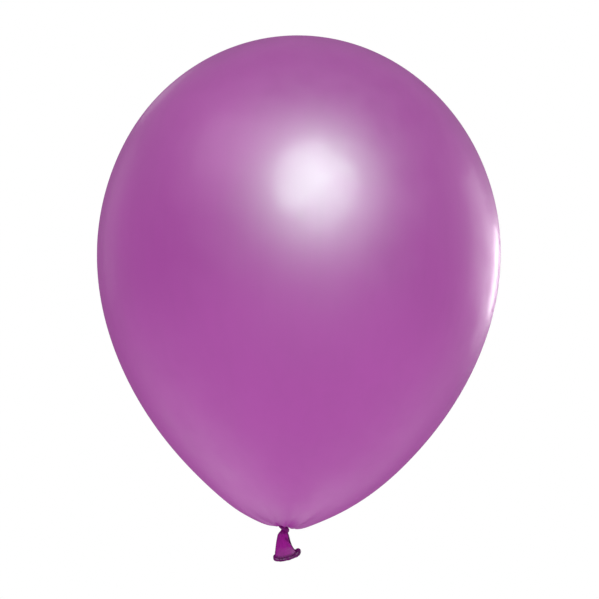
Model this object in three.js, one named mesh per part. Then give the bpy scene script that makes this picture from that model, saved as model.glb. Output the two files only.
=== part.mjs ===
// A round latex party balloon, inflated and tied off with an overhand knot in its own neck.
//
// Millimetres, +Z up towards the crown. The origin is the middle of the neck, level with the lowest
// ring of the inflated skin, where a ribbon or a balloon cup takes hold. X runs across the flat of
// the tail and Y runs through it. The skin is stretched film and everything below it is relaxed latex.
//
// Four rigid bodies follow each other down the neck: skin and pleats, neck strand, knot, tail.
// Each one meets the next on a ball centred on the pivot between them, so they turn without touching.

import * as THREE from "three";

// Driving dimensions of the inflated body
const INFLATED_DIAMETER = 280;
const SKIN_THICKNESS = 0.2;
const NECK_OFFSET = 5.2; // how far the body's axis stands to the +X side of the neck
const LEAN_HEIGHT = 45; // the height over which the skin swings from the neck to that axis

// Driving dimensions of the neck, the knot and the tail
const PLEAT_RADIUS = 9; // where the smooth skin ends and the gathered pleats begin
const PLEAT_COUNT = 12;
const PLEAT_DEPTH = 0.7;
const PLEAT_THICKNESS = 0.6;
const DIMPLE_HEIGHT = 3.8; // how far the neck is drawn up into the body
const DIMPLE_WAIST = { out: 1.2, down: 2.2 }; // where the dimple's line leaves the strand
const DIMPLE_BASE = 4; // how far in from the ring the dimple stays level
const STRAND_RADIUS = 1.2;
const STRAND_TOP = 7.5;
const KNOT_RADIUS = 1.5; // the strand that runs through the knot
const KNOT_HEIGHT = -0.6; // the middle of the knot, which is its pivot
const KNOT_TOP_REACH = 2.4;
const KNOT_BOTTOM_REACH = 2.6;
const WRAP_SECTION = { radial: 0.7, axial: 1.2 }; // half sizes of the turn round the knot
const TAIL_PIVOT_HEIGHT = -5.2;
const TAIL_BALL_RADIUS = 1.6;
const TAIL_WALL = 1.2; // of the round flare, before it is pressed flat
const TAIL_HOLLOW_TOP = -9;
const MOUTH_HEIGHT = -19.5;
const MOUTH_HALF_WIDTH = 9.2;
const MOUTH_SHIFT = 2.7; // the mouth hangs to the +X side of the knot
const MOUTH_FLATNESS = 0.22; // thickness of the pressed mouth over its width
const MOUTH_SLOPE = 0.18; // rise of the mouth towards +X, per millimetre
const MOUTH_CURL = 0.02; // rise of its corners, per square millimetre
const PRESSED_SHARE = 0.62; // the share of the tail's length over which it turns from round to flat
const FLARE_POWER = 0.9; // 1 would be a straight cone
const LIP_RADIUS = 1.1; // the rolled bead round the mouth
const CLEARANCE = 0.3;

// Worked out from the driving dimensions
const BODY_RADIUS = INFLATED_DIAMETER / 2;
const EQUATOR_HEIGHT = 1.352 * BODY_RADIUS;
const CROWN_RISE = 1.083 * BODY_RADIUS;
const SIDE_FULLNESS = 0.785 * BODY_RADIUS;
const BASE_FULLNESS = 0.269 * BODY_RADIUS;
const TAIL_LENGTH = TAIL_PIVOT_HEIGHT - MOUTH_HEIGHT;
const LIP_HEIGHT = MOUTH_HEIGHT - LIP_RADIUS - CLEARANCE;

const BODY_SEGMENTS = 48;
const PLEAT_SEGMENTS = PLEAT_COUNT * 6;
const NECK_SEGMENTS = 24;
const TAIL_SEGMENTS = 40;

const stretchedLatex = new THREE.MeshStandardMaterial({ color: 0xa652a1, roughness: 0.32, metalness: 0 });
const gatheredLatex = new THREE.MeshStandardMaterial({ color: 0x9c4698, roughness: 0.38, metalness: 0 });
const relaxedLatex = new THREE.MeshStandardMaterial({ color: 0x7a1a72, roughness: 0.45, metalness: 0 });

const onAxis = (height) => new THREE.Vector2(0, height);

// A solid of revolution about +Z from a profile of (radius, height) points, run anticlockwise.
function revolve(profile, segments) {
  const geometry = new THREE.LatheGeometry(profile, segments);
  geometry.rotateX(Math.PI / 2);
  return geometry;
}

// Moves every vertex of a geometry with a function that changes a Vector3 in place.
function reshape(geometry, move) {
  const position = geometry.getAttribute("position");
  const point = new THREE.Vector3();
  for (let i = 0; i < position.count; i += 1) {
    point.fromBufferAttribute(position, i);
    move(point);
    position.setXYZ(i, point.x, point.y, point.z);
  }
  return geometry;
}

// The same line moved sideways by a distance, to the left of its direction of travel.
function offset(line, distance) {
  return line.map((point, i) => {
    const before = line[Math.max(i - 1, 0)];
    const after = line[Math.min(i + 1, line.length - 1)];
    const along = after.clone().sub(before).normalize();
    const moved = new THREE.Vector2(-along.y, along.x).multiplyScalar(distance).add(point);
    return point.x === 0 ? onAxis(moved.y) : moved;
  });
}

// A wall of even thickness: out along a line and back along its offset, closed on itself.
function wallProfile(line, thickness) {
  return [...line, ...offset(line, thickness).reverse(), line[0]];
}

// An arc of a circle centred on the axis, as profile points. Angles are measured up from the horizontal.
function ballArc(centreHeight, radius, fromAngle, toAngle, divisions) {
  const arc = new THREE.EllipseCurve(0, centreHeight, radius, radius, fromAngle, toAngle, toAngle < fromAngle);
  return arc.getPoints(divisions).map((p) => (Math.abs(p.x) < 1e-9 ? onAxis(p.y) : p));
}

// The inflated skin from the ring at the pleats up to the crown. Below the equator it tapers like a
// pear, and above it is half an ellipse.
function envelopeGeometry() {
  const lower = new THREE.CubicBezierCurve(
    new THREE.Vector2(PLEAT_RADIUS, 0),
    new THREE.Vector2(BASE_FULLNESS, 0),
    new THREE.Vector2(BODY_RADIUS, EQUATOR_HEIGHT - SIDE_FULLNESS),
    new THREE.Vector2(BODY_RADIUS, EQUATOR_HEIGHT),
  );
  const crown = new THREE.EllipseCurve(0, EQUATOR_HEIGHT, BODY_RADIUS, CROWN_RISE, 0, Math.PI / 2);
  const skin = [...lower.getPoints(16).slice(0, -1), ...crown.getPoints(13).slice(0, -1)];
  skin.push(onAxis(EQUATOR_HEIGHT + CROWN_RISE));
  const geometry = revolve(wallProfile(skin, SKIN_THICKNESS), BODY_SEGMENTS);
  return reshape(geometry, (p) => {
    const above = THREE.MathUtils.clamp(p.z / LEAN_HEIGHT, 0, 1);
    p.x += NECK_OFFSET * (1 - (1 - above) ** 3);
  });
}

// The rosette of pleats that draws the skin up into a dimple round the neck strand.
function neckGatherGeometry() {
  const inner = STRAND_RADIUS + CLEARANCE;
  const outer = PLEAT_RADIUS - CLEARANCE;
  const dimple = new THREE.CubicBezierCurve(
    new THREE.Vector2(inner, DIMPLE_HEIGHT),
    new THREE.Vector2(inner + DIMPLE_WAIST.out, DIMPLE_HEIGHT - DIMPLE_WAIST.down),
    new THREE.Vector2(outer - DIMPLE_BASE, 0),
    new THREE.Vector2(outer, 0),
  );
  const geometry = revolve(wallProfile(dimple.getPoints(8), PLEAT_THICKNESS), PLEAT_SEGMENTS);
  return reshape(geometry, (p) => {
    const across = THREE.MathUtils.clamp((Math.hypot(p.x, p.y) - inner) / (outer - inner), 0, 1);
    const wave = Math.cos(PLEAT_COUNT * Math.atan2(p.y, p.x));
    p.z += 0.5 * PLEAT_DEPTH * wave * Math.sin(Math.PI * across);
  });
}

// The stretched strand of neck between the skin and the knot, cupped over the knot at its foot.
function neckStrandGeometry() {
  const cup = KNOT_TOP_REACH + CLEARANCE;
  const rim = Math.acos(STRAND_RADIUS / cup);
  const head = ballArc(STRAND_TOP - STRAND_RADIUS, STRAND_RADIUS, 0, Math.PI / 2, 5);
  return revolve([...ballArc(KNOT_HEIGHT, cup, Math.PI / 2, rim, 4), ...head], NECK_SEGMENTS);
}

// The strand inside the knot. Both its ends are caps of balls centred on the knot's pivot.
function knotCoreGeometry() {
  const foot = Math.acos(KNOT_RADIUS / KNOT_BOTTOM_REACH);
  const head = Math.acos(KNOT_RADIUS / KNOT_TOP_REACH);
  return revolve(
    [
      ...ballArc(KNOT_HEIGHT, KNOT_BOTTOM_REACH, -Math.PI / 2, -foot, 4),
      ...ballArc(KNOT_HEIGHT, KNOT_TOP_REACH, head, Math.PI / 2, 4),
    ],
    NECK_SEGMENTS,
  );
}

// The turn of the neck that wraps round that strand and pulls tight.
function knotWrapGeometry() {
  const ringRadius = KNOT_RADIUS + CLEARANCE + WRAP_SECTION.radial;
  const section = new THREE.EllipseCurve(ringRadius, 0, WRAP_SECTION.radial, WRAP_SECTION.axial, 0, 2 * Math.PI);
  return revolve(section.getPoints(14), NECK_SEGMENTS + 8);
}

// Presses the round flare flat below its pivot, and swings its mouth towards +X and up.
function pressTail(p) {
  const down = Math.max(0, (TAIL_PIVOT_HEIGHT - p.z) / TAIL_LENGTH);
  const pressed = Math.min(1, down / PRESSED_SHARE);
  p.y *= 1 - (1 - MOUTH_FLATNESS) * pressed;
  p.z += (MOUTH_SLOPE * p.x + MOUTH_CURL * p.x ** 2) * down ** 2;
  p.x += MOUTH_SHIFT * down ** 3;
}

// The free end of the neck below the knot: a flare that is hollow down to its open mouth.
function tailGeometry() {
  const outside = ballArc(TAIL_PIVOT_HEIGHT, TAIL_BALL_RADIUS, Math.PI / 2, 0, 4);
  const inside = [];
  const steps = 10;
  for (let i = 1; i <= steps; i += 1) {
    const down = i / steps;
    const radius = TAIL_BALL_RADIUS + (MOUTH_HALF_WIDTH - TAIL_BALL_RADIUS) * down ** FLARE_POWER;
    const height = TAIL_PIVOT_HEIGHT - TAIL_LENGTH * down;
    outside.push(new THREE.Vector2(radius, height));
    if (height < TAIL_HOLLOW_TOP) inside.push(new THREE.Vector2(radius - TAIL_WALL, height));
  }
  const profile = [...outside, ...inside.reverse(), onAxis(TAIL_HOLLOW_TOP)].reverse();
  return reshape(revolve(profile, TAIL_SEGMENTS), pressTail);
}

// The rolled bead that follows the edge of the mouth.
function rolledLipGeometry() {
  const line = [];
  const points = 24;
  for (let i = 0; i < points; i += 1) {
    const angle = (2 * Math.PI * i) / points;
    const radius = MOUTH_HALF_WIDTH - TAIL_WALL / 2;
    const p = new THREE.Vector3(radius * Math.cos(angle), radius * Math.sin(angle), LIP_HEIGHT);
    pressTail(p);
    line.push(p);
  }
  const mouthLine = new THREE.CatmullRomCurve3(line, true);
  return new THREE.TubeGeometry(mouthLine, 48, LIP_RADIUS, 10, true);
}

function part(name, geometry, material) {
  const mesh = new THREE.Mesh(geometry, material);
  mesh.name = name;
  return mesh;
}

const knotWrap = part("knot_wrap", knotWrapGeometry(), relaxedLatex);
knotWrap.position.z = KNOT_HEIGHT;

const skin = new THREE.Group();
skin.add(part("envelope", envelopeGeometry(), stretchedLatex));
skin.add(part("neck_gather", neckGatherGeometry(), gatheredLatex));

const neck = new THREE.Group();
neck.add(part("neck_strand", neckStrandGeometry(), relaxedLatex));

const knot = new THREE.Group();
knot.add(part("knot_core", knotCoreGeometry(), relaxedLatex));
knot.add(knotWrap);

const tail = new THREE.Group();
tail.add(part("tail_flare", tailGeometry(), relaxedLatex));
tail.add(part("rolled_lip", rolledLipGeometry(), relaxedLatex));

const balloon = new THREE.Group();
balloon.add(skin, neck, knot, tail);

export default balloon;
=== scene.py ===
"""A round latex balloon tied off in its own neck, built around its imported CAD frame.

Everything is in metres in the frame's own axes: the neck is at the origin, +Z runs up to the crown and
+X across the flat of the tail. The pieces follow the film down from the crown: the inflated skin, the
pleats that gather it into the neck, the twisted neck strand, the overhand knot, the tail and its
rolled lip. Lengths that are not read from the frame are given in millimetres and turned by MM.
"""

import math

import bmesh
import bpy
from mathutils import Matrix, Vector, noise


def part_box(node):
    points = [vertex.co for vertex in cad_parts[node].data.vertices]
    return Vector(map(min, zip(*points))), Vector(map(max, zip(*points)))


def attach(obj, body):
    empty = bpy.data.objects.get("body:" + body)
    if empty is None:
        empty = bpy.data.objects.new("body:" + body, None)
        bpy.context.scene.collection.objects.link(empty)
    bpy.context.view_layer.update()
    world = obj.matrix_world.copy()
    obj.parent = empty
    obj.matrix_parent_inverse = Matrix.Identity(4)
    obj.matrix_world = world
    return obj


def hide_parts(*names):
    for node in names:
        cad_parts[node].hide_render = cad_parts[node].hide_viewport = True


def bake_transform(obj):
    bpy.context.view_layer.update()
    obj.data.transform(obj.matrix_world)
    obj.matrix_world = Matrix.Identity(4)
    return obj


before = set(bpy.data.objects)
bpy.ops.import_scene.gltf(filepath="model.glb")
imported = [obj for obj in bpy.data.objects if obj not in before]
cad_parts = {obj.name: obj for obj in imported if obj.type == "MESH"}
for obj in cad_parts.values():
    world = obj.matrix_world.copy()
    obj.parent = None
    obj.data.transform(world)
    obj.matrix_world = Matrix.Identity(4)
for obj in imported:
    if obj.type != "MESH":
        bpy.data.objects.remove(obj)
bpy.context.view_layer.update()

bl_info = {
    "name": "Tied Latex Balloon",
    "version": (1, 0, 0),
    "blender": (4, 5, 0),
    "location": "3D View > Sidebar > Balloon",
    "description": "Builds an inflated latex balloon with its pleated neck, knot, tail and rolled lip",
    "category": "Object",
}

MM = 0.001

TINY = 0.01 * MM  # keeps a division away from zero on the axis

ENVELOPE_LOW, ENVELOPE_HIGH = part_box("envelope")
GATHER_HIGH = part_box("neck_gather")[1]
STRAND_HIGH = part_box("neck_strand")[1]
KNOT_LOW, KNOT_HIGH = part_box("knot_wrap")

FILM_RADIUS = (ENVELOPE_HIGH.y - ENVELOPE_LOW.y) / 2
BODY_AXIS_X = (ENVELOPE_HIGH.x + ENVELOPE_LOW.x) / 2
KNOT_CENTRE = (KNOT_LOW + KNOT_HIGH) / 2


# ---------------------------------------------------------------- sizes and colours


class BalloonSizes(bpy.types.PropertyGroup):
    """The sizes of the film, the neck, the knot and the tail."""

    film_radius: bpy.props.FloatProperty(
        name="Film Radius",
        description="Half the width of the inflated skin",
        default=FILM_RADIUS,
        unit="LENGTH",
    )
    crown_height: bpy.props.FloatProperty(
        name="Crown Height",
        description="Height of the crown above the neck",
        default=ENVELOPE_HIGH.z,
        unit="LENGTH",
    )
    equator_share: bpy.props.FloatProperty(
        name="Equator Share",
        description="Height of the widest ring as a share of the crown's height",
        default=0.5552,
        subtype="FACTOR",
        min=0.4,
        max=0.7,
    )
    side_fullness: bpy.props.FloatProperty(
        name="Side Fullness",
        description="How far the side keeps its width below the widest ring, in film radii",
        default=0.785,
        subtype="FACTOR",
    )
    base_fullness: bpy.props.FloatProperty(
        name="Base Fullness",
        description="How far the level base reaches out from the neck, in film radii",
        default=0.269,
        subtype="FACTOR",
    )
    film_thickness: bpy.props.FloatProperty(
        name="Film Thickness",
        description="Thickness of the stretched film",
        default=0.2 * MM,
        unit="LENGTH",
    )
    crown_tilt: bpy.props.FloatProperty(
        name="Crown Tilt",
        description="How far the crown leans over, as a slope",
        default=0.012,
        subtype="FACTOR",
    )
    pleat_ring: bpy.props.FloatProperty(
        name="Pleat Ring",
        description="Radius round the neck where the smooth film turns into the gathered rosette",
        default=GATHER_HIGH.x + 0.3 * MM,
        unit="LENGTH",
    )
    pleat_depth: bpy.props.FloatProperty(
        name="Pleat Depth",
        description="Height of the pleats at that ring",
        default=0.7 * MM,
        unit="LENGTH",
    )
    base_sag: bpy.props.FloatProperty(
        name="Base Sag",
        description="How far the base bulges down on the right of the neck",
        default=1.2 * MM,
        unit="LENGTH",
    )
    base_hitch: bpy.props.FloatProperty(
        name="Base Hitch",
        description="How far the base is drawn up on the left of the neck",
        default=1.2 * MM,
        unit="LENGTH",
    )
    strand_radius: bpy.props.FloatProperty(
        name="Strand Radius",
        description="Radius of the neck where it is pulled tight above the knot",
        default=STRAND_HIGH.x,
        unit="LENGTH",
    )
    knot_strand: bpy.props.FloatProperty(
        name="Knot Strand",
        description="Radius of the strand that the knot is tied in",
        default=1.85 * MM,
        unit="LENGTH",
    )
    lip_radius: bpy.props.FloatProperty(
        name="Lip Radius",
        description="Radius of the bead rolled round the mouth",
        default=1.25 * MM,
        unit="LENGTH",
    )


class BalloonColours(bpy.types.PropertyGroup):
    """The colours of the latex and of the room."""

    stretched: bpy.props.FloatVectorProperty(
        name="Stretched Latex",
        description="Colour of the inflated film",
        default=(0.455, 0.021, 0.413),
        subtype="COLOR",
        size=3,
    )
    thick: bpy.props.FloatVectorProperty(
        name="Thick Film",
        description="Colour where the film is thicker, at the crown and beside the neck",
        default=(0.36, 0.012, 0.33),
        subtype="COLOR",
        size=3,
    )
    relaxed: bpy.props.FloatVectorProperty(
        name="Relaxed Latex",
        description="Colour of the latex in the neck, the knot and the tail",
        default=(0.42, 0.012, 0.35),
        subtype="COLOR",
        size=3,
    )
    # Dark end of the relaxed latex: its deeper random tone, and painted shade in the tail's folds, along its
    # edges, under the knot and above the lip, and partly over the knot and the lip.
    deep_tone_and_shade: bpy.props.FloatVectorProperty(
        name="Creased Latex",
        description="Colour deep in the folds of the relaxed latex",
        default=(0.12, 0.002, 0.11),
        subtype="COLOR",
        size=3,
    )
    floor: bpy.props.FloatVectorProperty(
        name="Floor",
        description="Colour of the studio floor",
        default=(0.93, 0.93, 0.94),
        subtype="COLOR",
        size=3,
    )


def sizes():
    return bpy.context.scene.balloon_sizes


def colours():
    return bpy.context.scene.balloon_colours


# ---------------------------------------------------------------- small helpers


def smooth(low, high, value):
    """Eased step from 0 at low to 1 at high."""
    t = min(max((value - low) / (high - low), 0.0), 1.0)
    return t * t * (3 - 2 * t)


def lerp(a, b, t):
    return a + (b - a) * t


def hump(value, middle, spread):
    """Bell curve of height 1 round a middle."""
    return math.exp(-(((value - middle) / spread) ** 2) / 2)


def add_line(bm, points):
    """A chain of vertices and edges along some points."""
    verts = [bm.verts.new(p) for p in points]
    edges = [bm.edges.new(pair) for pair in zip(verts, verts[1:])]
    return verts + edges


def spin_profile(bm, points, steps):
    """Turns a chain of points in the XZ plane once round the Z axis."""
    bmesh.ops.spin(
        bm,
        geom=add_line(bm, points),
        cent=(0, 0, 0),
        axis=(0, 0, 1),
        angle=2 * math.pi,
        steps=steps,
        use_merge=True,
    )
    bmesh.ops.remove_doubles(bm, verts=bm.verts, dist=0.001 * MM)


def reshape(bm, move):
    """Moves every vertex to where a function of its place puts it."""
    for v in bm.verts:
        v.co = move(v.co)


def path_frames(points, up, closed):
    """A matrix at each point of a path: Z runs along the path and X stays as near to up as it can."""
    frames = []
    count = len(points)
    for i, p in enumerate(points):
        ahead = points[(i + 1) % count] if closed else points[min(i + 1, count - 1)]
        behind = points[i - 1] if closed or i else points[0]
        along = (ahead - behind).normalized()
        side = along.cross(up).normalized()
        turn = Matrix((side.cross(along), side, along)).transposed()
        frames.append(Matrix.Translation(p) @ turn.to_4x4())
    return frames


def sweep(bm, frames, radius, sides, closed):
    """Extrudes a round section from frame to frame and returns its rings of vertices."""
    made = bmesh.ops.create_circle(bm, cap_ends=False, radius=radius, segments=sides, matrix=frames[0])
    rings = [made["verts"]]
    edges = list(bm.edges)
    first_edges = edges
    for last, here in zip(frames, frames[1:]):
        grown = bmesh.ops.extrude_edge_only(bm, edges=edges)["geom"]
        ring = [g for g in grown if isinstance(g, bmesh.types.BMVert)]
        grown_edges = [g for g in grown if isinstance(g, bmesh.types.BMEdge)]
        edges = [edge for edge in grown_edges if edge.verts[0] in ring and edge.verts[1] in ring]
        bmesh.ops.transform(bm, matrix=here @ last.inverted(), verts=ring)
        rings.append(ring)
    if closed:
        bmesh.ops.bridge_loops(bm, edges=first_edges + edges)
    else:
        for loop in (first_edges, edges):
            bmesh.ops.holes_fill(bm, edges=loop)
    return rings


def reshape_rings(rings, frames, move):
    """Moves each ring's vertices in the ring's own frame, by a function of the ring's number and place."""
    for i, (ring, here) in enumerate(zip(rings, frames)):
        back = here.inverted()
        for v in ring:
            v.co = here @ move(i, back @ v.co)


def make_piece(name, bm, material, subdivisions=1):
    """Turns a bmesh into a smooth, outward-facing object that is finished by subdivision.

    Open edges are marked sharp, so the cut edge of a film doesn't shade its face.
    """
    bmesh.ops.recalc_face_normals(bm, faces=bm.faces)
    bm.edges.index_update()
    rim = [edge.index for edge in bm.edges if edge.is_boundary]
    mesh = bpy.data.meshes.new(name)
    bm.to_mesh(mesh)
    bm.free()
    mesh.shade_smooth()
    for i in rim:
        mesh.edges[i].use_edge_sharp = True
    mesh.materials.append(material)
    piece = bpy.data.objects.new(name, mesh)
    bpy.context.scene.collection.objects.link(piece)
    if subdivisions:
        finish = piece.modifiers.new("smooth_film", "SUBSURF")
        finish.levels = subdivisions
        finish.render_levels = subdivisions
    return piece


def give_wall(piece):
    """Gives an open film its thickness, inwards from its outer face."""
    wall = piece.modifiers.new("film_thickness", "SOLIDIFY")
    wall.thickness = sizes().film_thickness
    wall.offset = -1.0


# ---------------------------------------------------------------- materials


class Nodes:
    """Adds linked shader nodes to a new material."""

    def __init__(self, name):
        self.material = bpy.data.materials.new(name)
        self.material.use_nodes = True
        self.tree = self.material.node_tree
        self.shader = self.tree.nodes["Principled BSDF"]
        self.place = self.add("ShaderNodeTexCoord").outputs["Object"]

    def add(self, kind, **inputs):
        node = self.tree.nodes.new(kind)
        for key, value in inputs.items():
            self.give(node, key.replace("_", " "), value)
        return node

    def give(self, node, key, value):
        if isinstance(value, bpy.types.NodeSocket):
            self.tree.links.new(value, node.inputs[key])
        else:
            node.inputs[key].default_value = value

    def surface(self, **inputs):
        for key, value in inputs.items():
            self.give(self.shader, key.replace("_", " "), value)

    def along_film(self, squeeze):
        """Object coordinates with their height squeezed, so that a pattern runs up and down."""
        node = self.add("ShaderNodeMapping", Vector=self.place, Scale=(1, 1, squeeze))
        return node.outputs["Vector"]

    def noise(self, vector, scale, detail=2.0):
        node = self.add("ShaderNodeTexNoise", Vector=vector, Scale=scale, Detail=detail)
        return node.outputs["Fac"]

    def remap(self, value, given, wanted):
        """Eases a value from one pair of ends to another."""
        node = self.add("ShaderNodeMapRange", Value=value)
        node.interpolation_type = "SMOOTHSTEP"
        for key, number in zip(("From Min", "From Max", "To Min", "To Max"), (*given, *wanted)):
            node.inputs[key].default_value = number
        return node.outputs["Result"]

    def combine(self, operation, a, b):
        node = self.tree.nodes.new("ShaderNodeMath")
        node.operation = operation
        for socket, value in zip(node.inputs, (a, b)):
            if isinstance(value, bpy.types.NodeSocket):
                self.tree.links.new(value, socket)
            else:
                socket.default_value = value
        return node.outputs["Value"]

    def distance(self, point):
        """How far the surface is from a point of the object."""
        node = self.tree.nodes.new("ShaderNodeVectorMath")
        node.operation = "DISTANCE"
        self.tree.links.new(self.place, node.inputs[0])
        node.inputs[1].default_value = point
        return node.outputs["Value"]

    def blend(self, factor, first, second):
        """Mixes two colours."""
        node = self.tree.nodes.new("ShaderNodeMix")
        node.data_type = "RGBA"
        self.give(node, "Factor", factor)
        sockets = [socket for socket in node.inputs if socket.type == "RGBA"]
        for socket, colour in zip(sockets, (first, second)):
            socket.default_value = (*colour, 1.0)
        return next(socket for socket in node.outputs if socket.type == "RGBA")

    def bump(self, height, distance, normal=None):
        node = self.add("ShaderNodeBump", Height=height, Distance=distance, Strength=1.0)
        if normal:
            self.tree.links.new(normal, node.inputs["Normal"])
        return node.outputs["Normal"]


def stretched_latex(name):
    """Satin film with a faint cloud of pigment, pull lines along its length and thicker, darker ends."""
    n = Nodes(name)
    palette = colours()
    cloud = n.remap(n.noise(n.place, scale=16.0, detail=3.0), (0.35, 0.68), (0.0, 0.16))
    pull = n.remap(n.noise(n.along_film(0.05), scale=130.0), (0.4, 0.72), (0.0, 0.1))
    crown = n.remap(n.distance((BODY_AXIS_X, 0, ENVELOPE_HIGH.z)), (7 * MM, 19 * MM), (0.85, 0.0))
    neck = n.remap(n.distance((0, 0, 0)), (8 * MM, 60 * MM), (0.55, 0.0))
    ends = n.combine("MAXIMUM", crown, neck)
    depth = n.combine("MAXIMUM", ends, n.combine("ADD", cloud, pull))
    satin = n.noise(n.place, scale=55.0, detail=4.0)
    grain = n.noise(n.place, scale=700.0, detail=3.0)
    n.surface(
        Base_Color=n.blend(depth, palette.stretched, palette.thick),
        Roughness=n.remap(satin, (0.3, 0.7), (0.48, 0.53)),
        Specular_IOR_Level=0.75,
        Coat_Weight=0.16,
        Coat_Roughness=0.18,
        Normal=n.bump(grain, 0.02 * MM),
    )
    return n.material


def relaxed_latex(name, roughness=0.42, specular=0.12, depth=0.0, crease=None):
    """Thicker, deeper coloured latex with fine creases that run down the neck.

    Depth darkens all of it, partly as the deeper colour of thick latex and partly as painted shade, and
    crease names a vertex attribute of painted shade that is 1 deep in the folds.
    """
    n = Nodes(name)
    palette = colours()
    grain = n.noise(n.along_film(0.18), scale=900.0, detail=3.0)
    patch = n.noise(n.place, scale=180.0, detail=3.0)
    fine = n.noise(n.place, scale=2600.0)
    streaks = n.remap(grain, (0.42, 0.66), (depth, depth + 0.22))
    shade = n.combine("ADD", streaks, n.remap(patch, (0.35, 0.7), (0.0, 0.18)))
    # Painted shade in the folds, read from the crease attribute.
    if crease:
        folds = n.tree.nodes.new("ShaderNodeAttribute")
        folds.attribute_name = crease
        shade = n.combine("MAXIMUM", shade, folds.outputs["Fac"])
    n.surface(
        Base_Color=n.blend(shade, palette.relaxed, palette.deep_tone_and_shade),
        Roughness=n.remap(patch, (0.3, 0.7), (roughness - 0.04, roughness + 0.06)),
        Specular_IOR_Level=specular,
        Normal=n.bump(grain, 0.12 * MM, normal=n.bump(fine, 0.02 * MM)),
    )
    return n.material


def pale_floor(name):
    """Matt, very slightly uneven floor."""
    n = Nodes(name)
    patch = n.noise(n.place, scale=3.0, detail=3.0)
    n.surface(Base_Color=n.blend(patch, colours().floor, (0.9, 0.9, 0.91)), Roughness=0.9)
    return n.material


# ---------------------------------------------------------------- the film's shape

LEAN_HEIGHT = 45 * MM  # the body stands on its own axis above this, and over the neck at the bottom
BASE_HEIGHT = 20 * MM  # the base has all its pleats and bulges below this
SIDE_HEIGHT = 60 * MM  # the side has none of them above this
PLEAT_COUNT = 10
PLEAT_REACH = 20 * MM  # how far out from their ring the pleats run
SHOULDER_SWELL = 0.7 * MM  # of the film high on the left
UNEVENNESS = 0.25 * MM  # of the film all over the body


def pleat_wave(angle):
    """How far the pleats stand out round the neck, from -1 to 1: uneven, and steeper on one flank."""
    turn = angle + math.pi / 2
    phase = PLEAT_COUNT * turn + 0.6 * math.sin(2 * turn) + 0.4 * math.sin(3 * turn)
    return 0.6 * math.cos(phase) + 0.22 * math.sin(2 * phase) + 0.3 * math.cos(4 * turn)


def pleat_height(p, out):
    """Height of the pleats at a point this far out from the neck, greatest at their ring."""
    s = sizes()
    if out > s.pleat_ring:
        strength = math.exp(-(((out - s.pleat_ring) / PLEAT_REACH) ** 1.3))
    else:
        strength = smooth(0, s.pleat_ring, out) ** 0.5
    return s.pleat_depth * strength * pleat_wave(math.atan2(p.y, p.x))


def base_rise(p, out):
    """How far the base is drawn up on the left of the neck, less its bulge on the right."""
    s = sizes()
    sag = s.base_sag * hump(p.x, 9 * MM, 8 * MM) * hump(p.y, 0, 26 * MM)
    hitch = s.base_hitch * hump(p.x, -17 * MM, 11 * MM) * hump(p.y, 0, 30 * MM)
    return (hitch - sag) * smooth(2 * MM, s.pleat_ring, out)


def body_swell(p):
    """How far the film stands out from the round profile: a fuller left shoulder and a faint unevenness."""
    s = sizes()
    left = smooth(0.3, 1.0, -p.x / s.film_radius)
    shoulder = SHOULDER_SWELL * left * hump(p.z, 0.86 * s.crown_height, 0.1 * s.crown_height)
    return shoulder + UNEVENNESS * smooth(0, SIDE_HEIGHT, p.z) * noise.noise(p * 14.0)


def film_shape(p):
    """Takes a point of the round profile to its place on the real, slightly uneven film."""
    s = sizes()
    out = math.hypot(p.x, p.y)
    near_base = 1 - smooth(BASE_HEIGHT, SIDE_HEIGHT, p.z)
    rise = near_base * (base_rise(p, out) - pleat_height(p, out))
    above = min(max(p.z / LEAN_HEIGHT, 0.0), 1.0)
    lean = BODY_AXIS_X * (1 - (1 - above) ** 3)
    tilt = s.crown_tilt * p.x * smooth(0.55, 0.95, p.z / s.crown_height)
    outwards = Vector((p.x, p.y, 0)) / max(out, TINY)
    return p + Vector((lean, 0, rise - tilt)) + outwards * body_swell(p)


def bezier(points, share):
    """A point of the cubic curve with four control points."""
    a, b, c, d = points
    rest = 1 - share
    return a * rest ** 3 + 3 * b * rest * rest * share + 3 * c * rest * share * share + d * share ** 3


def skin_profile():
    """The outline from the pleat ring out along the base, up the side and over to the crown."""
    s = sizes()
    equator = s.crown_height * s.equator_share
    radius = s.film_radius
    side = (
        Vector((s.pleat_ring, 0, 0)),
        Vector((s.base_fullness * radius, 0, 0)),
        Vector((radius, 0, equator - s.side_fullness * radius)),
        Vector((radius, 0, equator)),
    )
    side_steps = 48
    outline = [bezier(side, (i / side_steps) ** 1.5) for i in range(side_steps + 1)]
    crown_steps = 34
    for i in range(1, crown_steps + 1):
        a = 0.5 * math.pi * i / crown_steps
        outline.append(Vector((radius * math.cos(a), 0, lerp(equator, s.crown_height, math.sin(a)))))
    outline[-1].x = 0.0
    return outline


def dimple_profile():
    """The gathered film from the neck strand down and out to the pleat ring."""
    s = sizes()
    top = GATHER_HIGH.z
    inner = 0.95 * s.strand_radius
    curve = (
        Vector((inner, 0, top)),
        Vector((inner + 1.0 * MM, 0, 0.42 * top)),
        Vector((s.pleat_ring - 4.2 * MM, 0, 0)),
        Vector((s.pleat_ring, 0, 0)),
    )
    steps = 24
    return [bezier(curve, 1 - (1 - i / steps) ** 1.5) for i in range(steps + 1)]


# ---------------------------------------------------------------- the skin and the neck

FILM_STEPS = 132  # round the neck, enough for the pleats


class BALLOON_OT_skin(bpy.types.Operator):
    """Builds the inflated skin"""

    bl_idname = "balloon.skin"
    bl_label = "Inflated Skin"

    def execute(self, context):
        bm = bmesh.new()
        spin_profile(bm, skin_profile(), FILM_STEPS)
        reshape(bm, film_shape)
        skin = make_piece("inflated_skin", bm, stretched_latex("stretched_latex"))
        give_wall(skin)
        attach(skin, "balloon")
        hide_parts("envelope")
        return {"FINISHED"}


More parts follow.
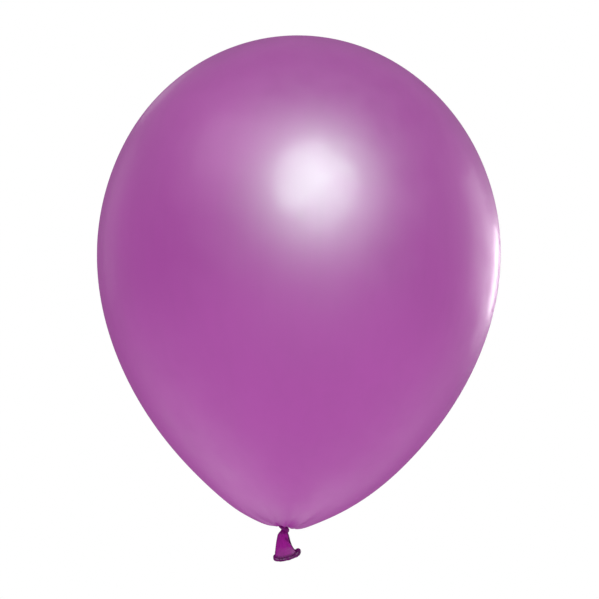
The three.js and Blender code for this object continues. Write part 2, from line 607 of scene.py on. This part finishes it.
class BALLOON_OT_pleats(bpy.types.Operator):
    """Builds the rosette of pleats that gathers the film into the neck"""

    bl_idname = "balloon.pleats"
    bl_label = "Neck Pleats"

    def execute(self, context):
        bm = bmesh.new()
        spin_profile(bm, dimple_profile(), FILM_STEPS)
        reshape(bm, film_shape)
        pleats = make_piece("neck_pleats", bm, stretched_latex("gathered_latex"))
        give_wall(pleats)
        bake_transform(pleats)
        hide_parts("neck_gather")
        return {"FINISHED"}


def strand_fold(p):
    """Presses shallow folds into the strand that twist as they climb."""
    folds = 7
    twist = 0.42 / MM
    ridge = 1 + 0.1 * math.cos(folds * math.atan2(p.y, p.x) + twist * p.z)
    return Vector((p.x * ridge, p.y * ridge, p.z))


class BALLOON_OT_strand(bpy.types.Operator):
    """Builds the twisted strand of neck between the pleats and the knot"""

    bl_idname = "balloon.strand"
    bl_label = "Neck Strand"

    def execute(self, context):
        radius = sizes().strand_radius
        low = KNOT_CENTRE.z + 0.6 * MM
        high = STRAND_HIGH.z
        rows = 26
        profile = [Vector((0, 0, low))]
        for i in range(rows + 1):
            rounded = math.sqrt(1 - smooth(0.8, 1.0, i / rows) ** 2)
            profile.append(Vector((radius * max(rounded, 0.12), 0, lerp(low, high, i / rows))))
        profile.append(Vector((0, 0, high)))
        bm = bmesh.new()
        spin_profile(bm, profile, 56)
        reshape(bm, strand_fold)
        strand = make_piece("neck_strand_latex", bm, relaxed_latex("neck_latex"))
        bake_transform(strand)
        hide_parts("neck_strand")
        return {"FINISHED"}


# ---------------------------------------------------------------- the knot


def knot_path():
    """The line of an overhand knot pulled tight, entering at the top and leaving at the bottom."""
    points = []
    steps = 96
    reach = 2.02
    for i in range(steps + 1):
        t = lerp(-reach, reach, i / steps)
        inward = 1 - smooth(1.45, reach, abs(t))
        x = 0.9 * (t ** 3 - 3 * t) * inward
        y = -0.85 * (t ** 4 - 4 * t * t + 2) * inward
        z = -0.16 * (t ** 5 - 10 * t) - 0.6 * t * smooth(1.6, reach, abs(t)) - 0.5
        points.append(KNOT_CENTRE + Vector((x, y, z)) * MM)
    return points


class BALLOON_OT_knot(bpy.types.Operator):
    """Builds the overhand knot from one creased strand"""

    bl_idname = "balloon.knot"
    bl_label = "Overhand Knot"

    def execute(self, context):
        bm = bmesh.new()
        frames = path_frames(knot_path(), Vector((0.3, 1, 0.2)), closed=False)
        rings = sweep(bm, frames, sizes().knot_strand, 20, closed=False)

        def crease(i, p):
            around = math.atan2(p.y, p.x)
            taper = 1 - 0.45 * smooth(0.8, 1.0, i / (len(frames) - 1))
            ridges = 0.07 * math.cos(5 * around + 0.08 * i) + 0.05 * math.cos(8 * around - 0.11 * i)
            return p * (1 + ridges) * taper

        reshape_rings(rings, frames, crease)
        # Depth darkens the knot: partly the deeper colour of its layered latex, partly painted shade.
        knot = make_piece("overhand_knot", bm, relaxed_latex("knot_latex", depth=0.55))
        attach(knot, "knot")
        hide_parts("knot_core", "knot_wrap")
        return {"FINISHED"}


# ---------------------------------------------------------------- the tail and its lip

TAIL_TOP = -1.8 * MM  # inside the knot
MOUTH_Z = -21.1 * MM
WAIST_HALF_WIDTH = 2.9 * MM
MOUTH_HALF_WIDTH = 7.8 * MM
MOUTH_SHIFT = 2.5 * MM  # to the right of the knot
TAIL_WALL = 0.4 * MM
TAIL_STEPS = 96  # round the tail and its lip
FOLD_TOP = Vector((1.4 * MM, 0, -9.2 * MM))
FOLD_FOOT = Vector((7.2 * MM, 0, -14.2 * MM))


def down_the_tail(p):
    """0 at the top of the tail, 1 at its mouth."""
    return (TAIL_TOP - p.z) / (TAIL_TOP - MOUTH_Z)


def tail_press(p):
    """Presses the round flare flat, swings its mouth sideways and curls its corners up."""
    down = min(max(down_the_tail(p), 0.0), 1.1)
    out = max(math.hypot(p.x, p.y), TINY)
    reach = p.x / MOUTH_HALF_WIDTH
    flat = lerp(0.95, 0.2, smooth(0.0, 0.7, down)) * (1 + 0.35 * reach * reach * down)
    blunt = lerp(1.0, 0.55, smooth(0.5, 1.0, down))
    y = math.copysign(out * flat * (abs(p.y) / out) ** blunt, p.y)
    x = p.x + MOUTH_SHIFT * down ** 3 - 0.5 * MM * smooth(0, 0.2, down)
    curl = (2.0 * reach + 2.4 * reach * reach) * MM * down * down
    slant = lerp(0.3, 0.9, min(reach * reach, 1.0)) * y * down ** 3
    return Vector((x, y, p.z + curl + slant))


def tail_creases(p):
    """Gathers that fan out from the knot and fade before the mouth."""
    down = down_the_tail(p)
    angle = math.atan2(p.y, p.x)
    gather = 0.13 * smooth(0.0, 0.15, down) * (1 - smooth(0.2, 0.85, down)) * math.cos(9 * angle + 0.6)
    return Vector((p.x * (1 + gather), p.y * (1 + gather), p.z))


def beside_fold(p):
    """Where a pressed point is: its share of the way down the fold, and how far to the right of it."""
    along = FOLD_FOOT - FOLD_TOP
    across = Vector((-along.z, 0, along.x)).normalized()
    offset = Vector((p.x, 0, p.z)) - FOLD_TOP
    return offset.dot(along) / along.length_squared, offset.dot(across)


def tail_fold(p):
    """Lays the front of the film back behind one deep fold down its wide side."""
    if p.y > 0:
        return p
    share, beyond = beside_fold(p)
    near = smooth(-0.35, 0.1, share) * (1 - smooth(0.95, 1.35, share))
    back = 1.0 * MM * smooth(-0.25 * MM, 0.45 * MM, beyond) * near
    ridge = 0.35 * MM * hump(beyond, -0.6 * MM, 0.35 * MM) * near
    return p + Vector((0, back - ridge, 0))


def tail_painted_shade(p):
    """How much painted shade a point of the round flare gets, by how deep in a crease it ends up: 0 on the
    open film, 1 in a fold.
    """
    down = down_the_tail(p)
    share, beyond = beside_fold(tail_press(p))
    near = smooth(-0.4, 0.0, share) * (1 - smooth(1.0, 1.3, share))
    # Painted shade in the deep fold down the wide side.
    fold = 0.6 * hump(beyond, 0.8 * MM, 0.7 * MM) * near
    # Painted shade along the folded side edges, under the knot and above the lip.
    edges = smooth(0.86, 1.0, abs(p.x) / max(math.hypot(p.x, p.y), TINY))
    shade_under_knot = 0.6 - smooth(0.1, 0.35, down)
    shade_above_lip = 0.9 * smooth(0.84, 1.0, down)
    return max(fold, edges, shade_under_knot, shade_above_lip)


def tail_profile():
    """Half the section of the flare: over the closed top, down the outside and back up the inside."""
    rows = 46
    solid_rows = 12
    outside = []
    for i in range(rows + 1):
        t = i / rows
        pinch = lerp(0.65, 1.0, smooth(0.0, 0.22, t))
        width = lerp(WAIST_HALF_WIDTH, MOUTH_HALF_WIDTH, t ** 1.3) * pinch
        outside.append(Vector((width, 0, lerp(TAIL_TOP, MOUTH_Z, t))))
    inside = [p - Vector((TAIL_WALL, 0, 0)) for p in outside[solid_rows:]]
    roof = Vector((0, 0, inside[0].z + TAIL_WALL))
    top = outside[0].x
    shoulder = [
        Vector((0, 0, TAIL_TOP + 0.9 * MM)),
        Vector((0.5 * top, 0, TAIL_TOP + 0.75 * MM)),
        Vector((0.85 * top, 0, TAIL_TOP + 0.4 * MM)),
    ]
    return [*shoulder, *outside, *reversed(inside), roof]


class BALLOON_OT_tail(bpy.types.Operator):
    """Builds the flared, flattened tail with its open mouth"""

    bl_idname = "balloon.tail"
    bl_label = "Tail"

    def execute(self, context):
        bm = bmesh.new()
        spin_profile(bm, tail_profile(), TAIL_STEPS)
        # The crease attribute carries painted shade into the tail's colour.
        crease = bm.verts.layers.float.new("crease")
        for v in bm.verts:
            v[crease] = tail_painted_shade(v.co)
        for shape in (tail_creases, tail_press, tail_fold):
            reshape(bm, shape)
        latex = relaxed_latex("tail_latex", roughness=0.4, specular=0.07, crease="crease")
        tail = make_piece("tail_film", bm, latex)
        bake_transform(tail)
        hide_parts("tail_flare")
        return {"FINISHED"}


def bead_swell(a):
    """Thickness of the lip's bead at an angle round the mouth: fatter in the corners, and uneven."""
    right_corner = hump(math.sin(a / 2), 0, 0.25)
    left_corner = hump(math.cos(a / 2), 0, 0.2)
    uneven = 0.06 * math.sin(9 * a + 1) + 0.04 * math.sin(17 * a)
    return 1 + 0.6 * right_corner + 0.15 * left_corner + uneven


class BALLOON_OT_lip(bpy.types.Operator):
    """Builds the bead rolled round the mouth"""

    bl_idname = "balloon.lip"
    bl_label = "Rolled Lip"

    def execute(self, context):
        angles = [2 * math.pi * i / TAIL_STEPS for i in range(TAIL_STEPS)]
        middle = Vector((0, 0, MOUTH_Z - 0.5 * MM))
        line = [
            tail_press(middle + Vector((math.cos(a), math.sin(a), 0)) * MOUTH_HALF_WIDTH)
            for a in angles
        ]
        frames = path_frames(line, Vector((0, 0, 1)), closed=True)
        bm = bmesh.new()
        rings = sweep(bm, frames, sizes().lip_radius, 16, closed=True)
        reshape_rings(rings, frames, lambda i, p: p * bead_swell(angles[i]))
        # Depth darkens the bead: partly the deeper colour of the rolled latex, partly painted shade.
        lip = make_piece("lip_bead", bm, relaxed_latex("lip_latex", roughness=0.38, depth=0.75))
        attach(lip, "tail")
        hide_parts("rolled_lip")
        return {"FINISHED"}


# ---------------------------------------------------------------- the studio

STUDIO_CENTRE = Vector((BODY_AXIS_X, 0, 0.157))
FLOOR_LEVEL = -1.8
FLOOR_RADIUS = 7.0
CAMERA_LENS = 135.0  # millimetres, on a sensor 36 mm wide
CAMERA_ELEVATION = -8.5  # degrees
CAMERA_DISTANCE = 1.558
CAMERA_ASIDE = 1.25 * MM
CAMERA_ROLL = 1.5  # degrees
ROOM_STRENGTH = 0.75  # of the white room on the film's own colour
FLOOR_GLOW = 1.49  # of the pale floor in the film's reflections
WALL_GLOW = 0.43  # of the walls in them
BACK_GLOW = 0.116  # of the wall behind the balloon, seen only at its rim
KEY_TINT = (0.56, 1.0, 0.64)
# Name, azimuth and elevation in degrees, distance and size in metres, power in watts, tint if not white.
# One size makes a round box, and two make a rectangle.
SOFT_BOXES = (
    ("key", 8.5, 27.0, 1.35, (1.02,), 45.5, KEY_TINT),
    ("key_core", 5.0, 27.5, 1.33, (0.45,), 8.0, KEY_TINT),
    ("key_spill", 20, 26, 1.5, (1.6,), 13.0, KEY_TINT),
    ("upper_left", -48, 43, 1.4, (0.8, 0.7), 4.4),
    ("right_window", 122, 12, 1.5, (0.6, 0.8), 3.9),
    ("right_edge", 137, 5, 1.5, (0.25, 0.6), 0.9),
    ("right_strip", 146.5, 7.8, 1.6, (0.22, 0.34), 3.2),
    ("left_window", -130, 14, 1.5, (0.5, 0.8), 0.55),
    ("left_rim", -155, 31, 1.5, (0.3, 0.25), 0.25),
    ("low_left", -125, -58, 1.4, (0.9, 0.7), 1.5),
    ("low_right", 150, -62, 1.4, (0.6, 0.5), 0.9),
)


def bearing(azimuth, elevation):
    """Unit vector from the balloon: azimuth 0 is towards the camera, 90 towards +X."""
    a, e = math.radians(azimuth), math.radians(elevation)
    return Vector((math.sin(a) * math.cos(e), -math.cos(a) * math.cos(e), math.sin(e)))


def soft_box(name, azimuth, elevation, distance, size, power, tint=(1, 1, 1)):
    """A round or rectangular box aimed at the middle of the balloon, seen only in its gloss."""
    light = bpy.data.lights.new(name, "AREA")
    light.energy = power
    light.color = tint
    light.size = size[0]
    if len(size) == 2:
        light.shape = "RECTANGLE"
        light.size_y = size[1]
    else:
        light.shape = "DISK"
    lamp = bpy.data.objects.new(name, light)
    bpy.context.scene.collection.objects.link(lamp)
    direction = bearing(azimuth, elevation)
    lamp.location = STUDIO_CENTRE + direction * distance
    lamp.rotation_mode = "QUATERNION"
    lamp.rotation_quaternion = direction.to_track_quat("Z", "Y")
    lamp.visible_diffuse = False
    lamp.visible_camera = False


def room_light():
    """White surroundings that light the film evenly and are dim in its reflections."""
    world = bpy.data.worlds.new("studio")
    bpy.context.scene.world = world
    world.use_nodes = True
    tree = world.node_tree
    tree.nodes.clear()
    rays = tree.nodes.new("ShaderNodeLightPath")
    out = tree.nodes.new("ShaderNodeOutputWorld")

    def node(kind, **inputs):
        made = tree.nodes.new(kind)
        for key, value in inputs.items():
            socket = made.inputs[key.replace("_", " ")]
            if isinstance(value, bpy.types.NodeSocket):
                tree.links.new(value, socket)
            else:
                socket.default_value = value
        return made

    def ramp(value, low, high, first, last):
        made = node("ShaderNodeMapRange", Value=value, From_Min=low, From_Max=high, To_Min=first, To_Max=last)
        made.interpolation_type = "SMOOTHSTEP"
        return made.outputs["Result"]

    def background(strength):
        return node("ShaderNodeBackground", Color=(1, 1, 1, 1), Strength=strength).outputs["Background"]

    def choose(factor, no, yes):
        mix = node("ShaderNodeMixShader")
        for socket, value in zip(mix.inputs, (factor, no, yes)):
            tree.links.new(value, socket)
        return mix.outputs["Shader"]

    # A world has no object coordinates: its Generated output is the direction of the ray.
    direction = node("ShaderNodeTexCoord").outputs["Generated"]
    axes = node("ShaderNodeSeparateXYZ", Vector=direction).outputs
    pale = ramp(axes["Z"], -0.65, 0.0, FLOOR_GLOW, WALL_GLOW)
    behind = ramp(axes["Y"], 0.6, 0.9, 0.0, 1.0)
    glow = choose(behind, background(pale), background(BACK_GLOW))
    lighting = choose(rays.outputs["Is Glossy Ray"], background(ROOM_STRENGTH), glow)
    seen = choose(rays.outputs["Is Camera Ray"], lighting, background(1.0))
    tree.links.new(seen, out.inputs["Surface"])


def studio_floor():
    """A wide pale disc, far enough down not to colour the film."""
    bm = bmesh.new()
    level = Matrix.Translation((0, 0, FLOOR_LEVEL))
    bmesh.ops.create_circle(bm, cap_ends=True, radius=FLOOR_RADIUS, segments=96, matrix=level)
    floor = make_piece("studio_floor", bm, pale_floor("studio_floor"), subdivisions=0)
    floor.visible_glossy = False


def studio_camera():
    """A long lens a little below the middle of the balloon, looking slightly up."""
    camera = bpy.data.cameras.new("camera")
    camera.lens = CAMERA_LENS
    camera.sensor_width = 36.0
    camera.clip_end = 50.0
    eye = bpy.data.objects.new("camera", camera)
    bpy.context.scene.collection.objects.link(eye)
    towards = bearing(0, CAMERA_ELEVATION)
    eye.location = STUDIO_CENTRE + towards * CAMERA_DISTANCE + Vector((CAMERA_ASIDE, 0, 0))
    eye.rotation_mode = "QUATERNION"
    roll = Matrix.Rotation(math.radians(CAMERA_ROLL), 4, "Z").to_quaternion()
    eye.rotation_quaternion = towards.to_track_quat("Z", "Y") @ roll
    bpy.context.scene.camera = eye


class BALLOON_OT_studio(bpy.types.Operator):
    """Builds the floor, the soft lights and the camera"""

    bl_idname = "balloon.studio"
    bl_label = "Studio"

    def execute(self, context):
        studio_floor()
        for box in SOFT_BOXES:
            soft_box(*box)
        room_light()
        studio_camera()
        context.scene.view_settings.view_transform = "Standard"
        return {"FINISHED"}


# ---------------------------------------------------------------- the add-on


class BALLOON_PT_panel(bpy.types.Panel):
    """Lists the balloon's pieces, sizes and colours"""

    bl_idname = "BALLOON_PT_panel"
    bl_label = "Tied Latex Balloon"
    bl_space_type = "VIEW_3D"
    bl_region_type = "UI"
    bl_category = "Balloon"

    def draw(self, context):
        layout = self.layout
        for group in (context.scene.balloon_sizes, context.scene.balloon_colours):
            box = layout.box()
            for name in group.__annotations__:
                box.prop(group, name)
        for operator in OPERATORS:
            layout.operator(operator.bl_idname)


OPERATORS = (
    BALLOON_OT_skin,
    BALLOON_OT_pleats,
    BALLOON_OT_strand,
    BALLOON_OT_knot,
    BALLOON_OT_tail,
    BALLOON_OT_lip,
    BALLOON_OT_studio,
)
CLASSES = (BalloonSizes, BalloonColours, *OPERATORS, BALLOON_PT_panel)


def register():
    for cls in CLASSES:
        bpy.utils.register_class(cls)
    bpy.types.Scene.balloon_sizes = bpy.props.PointerProperty(type=BalloonSizes)
    bpy.types.Scene.balloon_colours = bpy.props.PointerProperty(type=BalloonColours)


def unregister():
    del bpy.types.Scene.balloon_colours
    del bpy.types.Scene.balloon_sizes
    for cls in reversed(CLASSES):
        bpy.utils.unregister_class(cls)


def main():
    register()
    for operator in OPERATORS:
        group, name = operator.bl_idname.split(".")
        getattr(getattr(bpy.ops, group), name)()


if __name__ == "__main__":
    main()
